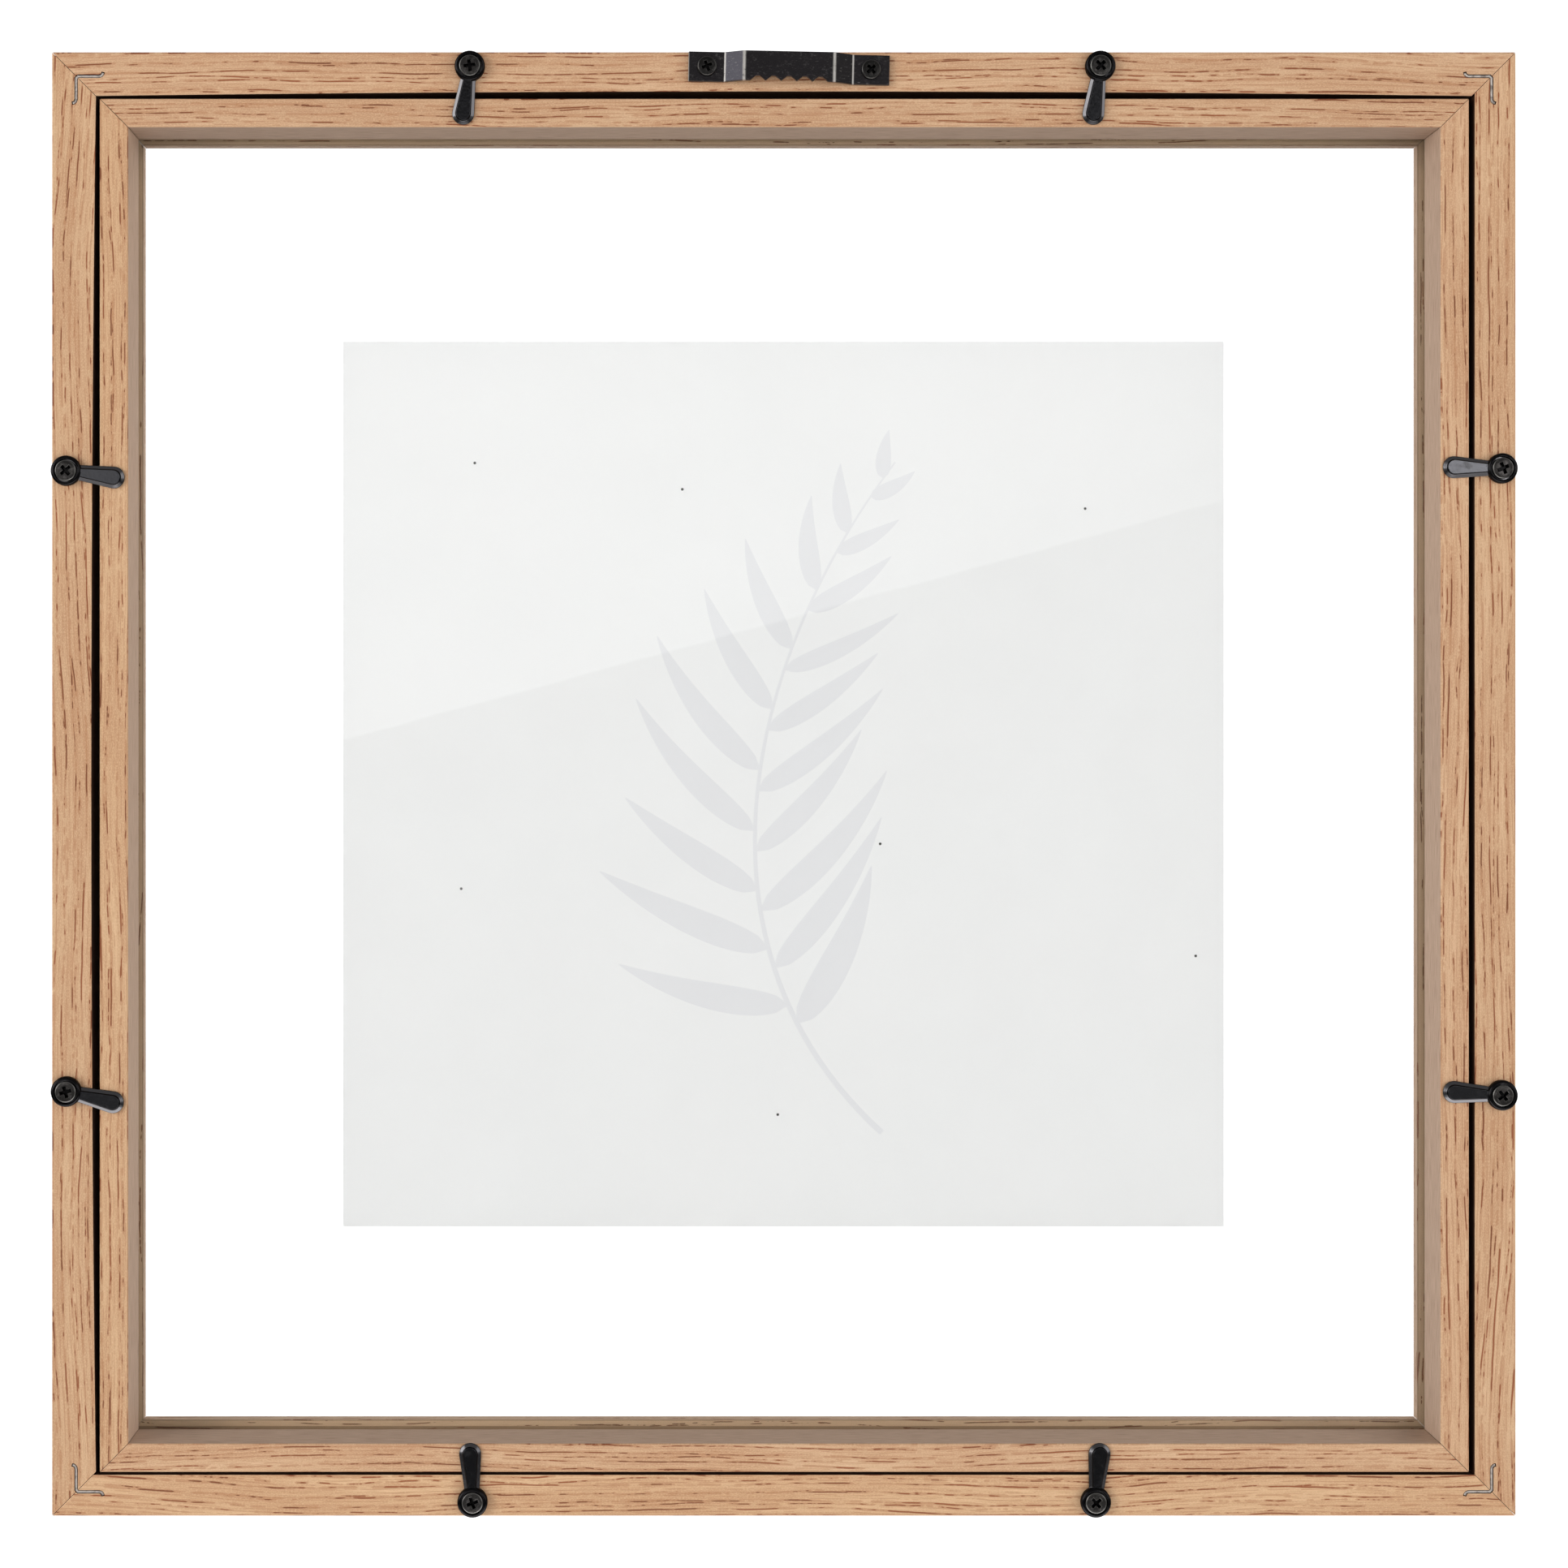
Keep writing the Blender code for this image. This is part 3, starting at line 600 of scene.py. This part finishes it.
def paper(name, bright, shade):
    """Smooth heavy paper: short fibres, a cloudy formation and a few specks of dust."""
    material, g = new_material(name)
    place = g.millimetres()
    x, _, z = g.split(place)
    fibres = g.noise(place, scale=3.2, detail=4.0, roughness=0.65)
    cloud = g.noise(place, scale=0.045, detail=3.0)
    specks = g.cells(g.combined(x, z), 1 / 23)
    rare = g.ramp(g.split(specks["Color"])[0], 0.16, 0.15)
    speck = g.times(g.ramp(specks["Distance"], 0.016, 0.010), rare)
    colour = g.mix(cloud, shade, bright)
    colour = g.tint(colour, shade, fibres, 0.10)
    shader = g.principled(
        Base_Color=g.mix(speck, colour, linear(40, 38, 34)),
        Roughness=g.between(fibres, 0.70, 0.86),
        IOR=1.4,
        Normal=g.bump(fibres, 0.012 * MM, 0.3),
    )
    g.surface(shader)
    return material


def ink(name):
    """Printed ink: green-grey, deeper in patches, with the paper's grain in it."""
    material, g = new_material(name)
    place = g.millimetres()
    wash = g.noise(place, scale=0.11, detail=4.0)
    grain = g.noise(place, scale=4.0, detail=3.0)
    colour = g.mix(g.ramp(wash, 0.30, 0.70), linear(84, 104, 92), linear(118, 136, 118))
    shader = g.principled(
        Base_Color=g.tint(colour, linear(168, 178, 164), grain, 0.35),
        Roughness=g.between(grain, 0.62, 0.80),
        Normal=g.bump(grain, 0.015 * MM, 0.4),
    )
    g.surface(shader)
    return material


def paint(node, material):
    """Puts a material on a CAD node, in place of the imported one."""
    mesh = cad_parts[node].data
    mesh.materials.clear()
    mesh.materials.append(material)


def soften(node, width):
    """Joins a CAD node's triangles and rounds its sharp edges a little."""
    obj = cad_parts[node]
    mesh = obj.data
    normals = mesh.attributes.get("custom_normal")
    if normals is not None:
        mesh.attributes.remove(normals)
    mesh.shade_smooth()
    weld = obj.modifiers.new("weld", "WELD")
    weld.merge_threshold = WELD_DISTANCE
    flat = obj.modifiers.new("flat_faces", "DECIMATE")
    flat.decimate_type = "DISSOLVE"
    flat.angle_limit = FLAT_ANGLE
    bevel = obj.modifiers.new("edges", "BEVEL")
    bevel.width = width
    bevel.segments = EDGE_SEGMENTS
    bevel.limit_method = "ANGLE"
    bevel.angle_limit = EDGE_ANGLE
    bevel.harden_normals = True
    bevel.use_clamp_overlap = True


def bezier(points, t):
    a, b, c, d = (Vector(p) for p in points)
    s = 1 - t
    return a * s**3 + b * 3 * s * s * t + c * 3 * s * t * t + d * t**3


def bezier_heading(points, t):
    a, b, c, d = (Vector(p) for p in points)
    s = 1 - t
    return ((b - a) * s * s + (c - b) * 2 * s * t + (d - c) * t * t).normalized()


def left_of(heading):
    return Vector((-heading.y, heading.x))


def blade(root, heading, length, width, curl):
    """A leaflet's outline: narrow at its root, widest at a third, and drawn to a point."""
    spine, heading = [root], heading.copy()
    outline = []
    for i in range(LEAFLET_STEPS + 1):
        share = i / LEAFLET_STEPS
        half = 0.5 * width * math.sin(math.pi * min(1.0, share**0.62)) ** 0.8
        half = max(half, 0.02 * width)
        across = left_of(heading) * half
        outline.append((spine[-1] + across, spine[-1] - across))
        heading = (Matrix.Rotation(curl / LEAFLET_STEPS, 2) @ heading).normalized()
        spine.append(spine[-1] + heading * (length / LEAFLET_STEPS))
    return outline


def fern_ribbons():
    """The fern as ribbons, each a list of left and right points, in print millimetres."""
    draw = random.Random(FERN_SEED)
    stem = []
    for i in range(STEM_STEPS + 1):
        t = i / STEM_STEPS
        across = left_of(bezier_heading(FERN_STEM, t)) * STEM_WIDTH * (0.62 - 0.45 * t)
        point = bezier(FERN_STEM, t)
        stem.append((point + across, point - across))
    ribbons = [stem]
    for i in range(FERN_LEAFLETS):
        share = i / (FERN_LEAFLETS - 1)
        length = LEAFLET_LENGTH * (1.0 - 0.72 * share**1.5) * (0.86 + 0.14 * math.sin(3 * share))
        for side in (-1, 1):
            t = FERN_FIRST + (1 - FERN_FIRST) * (share * 0.95 + 0.018 * side)
            heading = bezier_heading(FERN_STEM, t)
            lean = math.radians(66 - 22 * share + draw.uniform(-5, 5))
            heading = Matrix.Rotation(-side * lean, 2) @ heading
            long = length * draw.uniform(0.90, 1.06)
            wide = LEAFLET_WIDTH * (1.0 - 0.45 * share) * draw.uniform(0.92, 1.08)
            curl = side * math.radians(draw.uniform(16, 34))
            ribbons.append(blade(bezier(FERN_STEM, t), heading, long, wide, curl))
    return ribbons


def fern_piece(name, centre, level, material):
    """The fern as one flat piece on the print's middle, half below this level in Y and half
    above it. It serves for the ink and for the painted shade where the ink shows through
    the sheet. The leaflets are a little thinner than the stem that they cross."""
    low, high = level - INK_THICKNESS * MM, level + INK_THICKNESS * MM
    work = bmesh.new()
    for layer, ribbon in enumerate(fern_ribbons()):
        lift = 0.0 if layer == 0 else 0.1 * (high - low)
        levels = []
        for y in (low + lift, high - lift):
            row = []
            for pair in ribbon:
                row.append(
                    [work.verts.new((centre.x + p.x * MM, y, centre.z + p.y * MM)) for p in pair]
                )
            levels.append(row)
        under, over = levels
        for i in range(len(ribbon) - 1):
            for row in levels:
                work.faces.new((row[i][0], row[i][1], row[i + 1][1], row[i + 1][0]))
            for side in (0, 1):
                work.faces.new(
                    (under[i][side], under[i + 1][side], over[i + 1][side], over[i][side])
                )
        for i in (0, -1):
            work.faces.new((under[i][0], under[i][1], over[i][1], over[i][0]))
    bmesh.ops.recalc_face_normals(work, faces=work.faces)
    mesh = bpy.data.meshes.new(name)
    work.to_mesh(mesh)
    work.free()
    mesh.materials.append(material)
    obj = bpy.data.objects.new(name, mesh)
    bpy.context.scene.collection.objects.link(obj)
    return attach(obj, "frame")


def softbox(name, place, size, power):
    """A rectangular lamp that faces the frame. It lights the frame without being mirrored
    in it: the panes and the lacquer mirror the world instead."""
    lamp = bpy.data.lights.new(name, "AREA")
    lamp.shape = "RECTANGLE"
    lamp.size, lamp.size_y = size
    lamp.energy = power
    obj = bpy.data.objects.new(name, lamp)
    obj.location = place
    aim = (cad_middle - Vector(place)).to_track_quat("-Z", "Y")
    obj.rotation_euler = aim.to_euler()
    obj.visible_camera = False
    obj.visible_glossy = False
    obj.visible_transmission = False
    bpy.context.scene.collection.objects.link(obj)


def seen_straight(g, path, seen, unseen):
    """One strength for rays that reach the camera straight or through glass, and another
    for those that light the frame or are mirrored in it."""
    straight = g.math("LESS_THAN", path["Diffuse Depth"], 0.5)
    mirrored = g.over(path["Glossy Depth"], 0.5)
    through = g.times(path["Is Transmission Ray"], straight, g.rest_of(mirrored))
    direct = g.highest(path["Is Camera Ray"], through)
    return g.plus(unseen, g.times(direct, g.minus(seen, unseen)))


def mirrored_card(g, across, up):
    """The lit card, whose lower edge slants, and the brighter card beside it."""
    rise = g.times(g.minus(across, CARD_EDGE_AT[0]), CARD_EDGE_SLOPE)
    above = g.minus(g.minus(up, CARD_EDGE_AT[1]), rise)
    card = g.times(g.ramp(above, 0.0, CARD_EDGE_BLUR), g.ramp(across, *CARD_FADE), CARD_LIGHT)
    (side, foot), (side_blur, foot_blur) = SIDE_CARD_AT, SIDE_CARD_BLUR
    beside = g.times(
        g.ramp(across, side, side + side_blur),
        g.ramp(up, foot, foot + foot_blur),
        g.ramp(across, *SIDE_CARD_END),
        SIDE_CARD_LIGHT,
    )
    return g.times(g.highest(card, beside), g.ramp(up, CARD_TOP + CARD_TOP_BLUR, CARD_TOP))


def mirrored_glow(g, x, z, reach):
    """The glow far out on both sides, which is only mirrored and lights nothing."""
    start, full, fade, end = GLOW_REACH
    glow = g.times(g.ramp(reach, start, full), g.ramp(reach, end, fade))
    glow = g.times(glow, g.between(g.over(x, 0.0), GLOW_RIGHT, GLOW_LEFT))
    return g.times(glow, g.ramp(g.size_of(z), *GLOW_RISE))


def mirrored_window(g, across, up):
    sides = [
        g.ramp(g.apart(slope, at), half + WINDOW_BLUR, half - WINDOW_BLUR)
        for slope, at, half in zip((across, up), WINDOW_AT, WINDOW_HALF)
    ]
    return g.times(*sides, WINDOW_LIGHT)


def studio_world():
    """White behind the frame, and behind the camera a dim room with a card and a window."""
    world = bpy.data.worlds.new("studio")
    bpy.context.scene.world = world
    g = Graph(world)
    path = g.path()
    x, y, z = g.split(g.node("ShaderNodeTexCoord", {}).outputs["Generated"])
    ahead = g.highest(y, MIRROR_SIDE)
    across, up = g.math("DIVIDE", x, ahead), g.math("DIVIDE", z, ahead)
    reach, steep = g.size_of(across), g.size_of(up)
    this_side = g.over(y, MIRROR_SIDE)

    far = g.between(path["Is Glossy Ray"], BEHIND_FRAME_LIGHT, MIRRORED_BEHIND_FRAME)
    room = g.between(g.ramp(y, WALL_BEGINS, WALL_FULL), BEHIND_CAMERA_LIGHT, far)
    room = g.times(room, g.between(g.ramp(z, -0.6, 0.7), ROOM_AT_FOOT, ROOM_AT_HEAD))
    glow = g.times(mirrored_glow(g, x, z, reach), path["Is Glossy Ray"])
    lit = g.plus(mirrored_card(g, across, up), glow)
    lit = g.plus(lit, mirrored_window(g, across, up))
    room = g.plus(room, g.times(lit, this_side))
    bands = g.times(*(g.ramp(steep, edge - blur, edge + blur) for edge, blur in DARK_BANDS))
    dark = g.times(bands, g.ramp(reach, *DARK_ACROSS), this_side)
    room = g.times(room, g.between(dark, 1.0, DARK_SHARE))

    light = seen_straight(g, path, BACKDROP_LIGHT, room)
    shader = g.node("ShaderNodeBackground", {"Color": (1.0, 1.0, 1.0), "Strength": light})
    g.surface(shader.outputs[0], "ShaderNodeOutputWorld")


def floor_material():
    material, g = new_material("floor")
    path = g.path()
    x, y, _ = g.split(g.node("ShaderNodeTexCoord", {}).outputs["Object"])
    away = g.math("SQRT", g.plus(g.times(x, x), g.times(y, y)))
    near_patch = g.ramp(away, PATCH_GONE, PATCH_FULL)
    behind = g.ramp(g.math("DIVIDE", y, away), WALL_BEGINS, WALL_FULL)
    distant = g.ramp(away, MIRRORED_FLOOR_NEAR, MIRRORED_FLOOR_FAR)
    mirrored = g.between(distant, MIRRORED_FLOOR_LIGHT, BEHIND_CAMERA_LIGHT)
    mirrored = g.highest(mirrored, g.times(near_patch, PATCH_LIGHT))
    mirrored = g.between(behind, mirrored, MIRRORED_BEHIND_FRAME)
    unseen = g.between(g.over(path["Diffuse Depth"], 0.5), mirrored, FLOOR_GLOW)
    light = seen_straight(g, path, BACKDROP_LIGHT, unseen)
    white = g.node("ShaderNodeEmission", {"Color": (1.0, 1.0, 1.0), "Strength": light})
    matt = g.principled(Base_Color=FLOOR_COLOUR, Roughness=0.8)
    share = g.highest(
        g.ramp(away, FLOOR_NEAR, FLOOR_FAR), g.times(near_patch, path["Is Glossy Ray"])
    )
    g.surface(g.node("ShaderNodeMixShader", {0: share, 1: matt, 2: white.outputs[0]}).outputs[0])
    return material


def studio_floor(height):
    """A pale floor below the frame, which runs out into the white of the backdrop."""
    mesh = bpy.data.meshes.new("floor")
    work = bmesh.new()
    bmesh.ops.create_circle(
        work, cap_ends=True, segments=FLOOR_SEGMENTS, radius=FLOOR_REACH
    )
    work.to_mesh(mesh)
    work.free()
    mesh.materials.append(floor_material())
    floor = bpy.data.objects.new("floor", mesh)
    floor.location = (0, 0, height)
    bpy.context.scene.collection.objects.link(floor)


def add_camera():
    camera = bpy.data.cameras.new("camera")
    camera.lens = CAMERA_LENS
    camera.sensor_width = CAMERA_SENSOR
    camera.shift_x, camera.shift_y = CAMERA_SHIFT
    camera.clip_start = 0.01
    obj = bpy.data.objects.new("camera", camera)
    obj.location = CAMERA_PLACE
    obj.rotation_euler = (math.pi / 2, 0, math.pi)
    bpy.context.scene.collection.objects.link(obj)
    bpy.context.scene.camera = obj


# Rails: each is cut from its own length of wood.
grain = random.Random(GRAIN_SEED)
for kind, sweep in RAIL_SWEEP.items():
    for side in ("top", "right", "bottom", "left"):
        offset = (grain.uniform(-900, 900), grain.uniform(-90, 90))
        # A rail's tone varies at random around its side's tone, which is partly painted light.
        tone_and_light = [RAIL_TONE_AND_LIGHT[side] + grain.uniform(-0.03, 0.03)] * 3
        tone_and_light[2] *= 1.0 + grain.uniform(-0.04, 0.04)
        upright, spacer = side in ("left", "right"), kind == "inner_rail_"
        paint(kind + side, oak("oak_" + kind + side, upright, offset, tone_and_light, sweep, spacer))

# Hardware.
lacquer = black_lacquer("button_lacquer")
phosphate = {
    "button": screw_black("button_screw_phosphate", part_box("button_screw_top_left")[1].y, 0.0),
    "hanger": screw_black("hanger_screw_phosphate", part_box("hanger_screw_left")[1].y, 0.55),
}
nails = nail_steel("nail_steel")
for node in sorted(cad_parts):
    if node.startswith("turn_button"):
        paint(node, lacquer)
        soften(node, BUTTON_EDGE)
    elif "screw" in node:
        paint(node, phosphate[node.split("_")[0]])
        soften(node, SCREW_EDGE)
    elif node.startswith("corner_nail"):
        paint(node, nails)
        soften(node, NAIL_EDGE)
hanger_low, hanger_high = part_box("sawtooth_hanger")
paint("sawtooth_hanger", hanger_steel("hanger_steel", (hanger_low + hanger_high) / 2))
soften("sawtooth_hanger", HANGER_EDGE)

# Panes and print. The fern is printed on the front. On the rear, a fern of slightly darker
# paper is painted shade, for the ink's shadow in the light that comes through the sheet.
clear = glass("float_glass")
paint("front_glass", clear)
paint("rear_glass", clear)
paint("art_print", paper("print_paper", linear(253, 253, 252), linear(249, 249, 248)))
sheet_low, sheet_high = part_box("art_print")
sheet_middle = (sheet_low + sheet_high) / 2
fern_piece("fern_ink", sheet_middle, sheet_low.y, ink("fern_ink"))
shadow = paper("fern_show_through", linear(243, 243, 244), linear(239, 239, 240))
fern_piece("fern_show_through", sheet_middle, sheet_high.y, shadow)

# Studio.
studio_world()
studio_floor(cad_box[0].z - FLOOR_DROP)
for lamp in LAMPS:
    softbox(*lamp)
add_camera()
bpy.context.scene.view_settings.view_transform = "Standard"
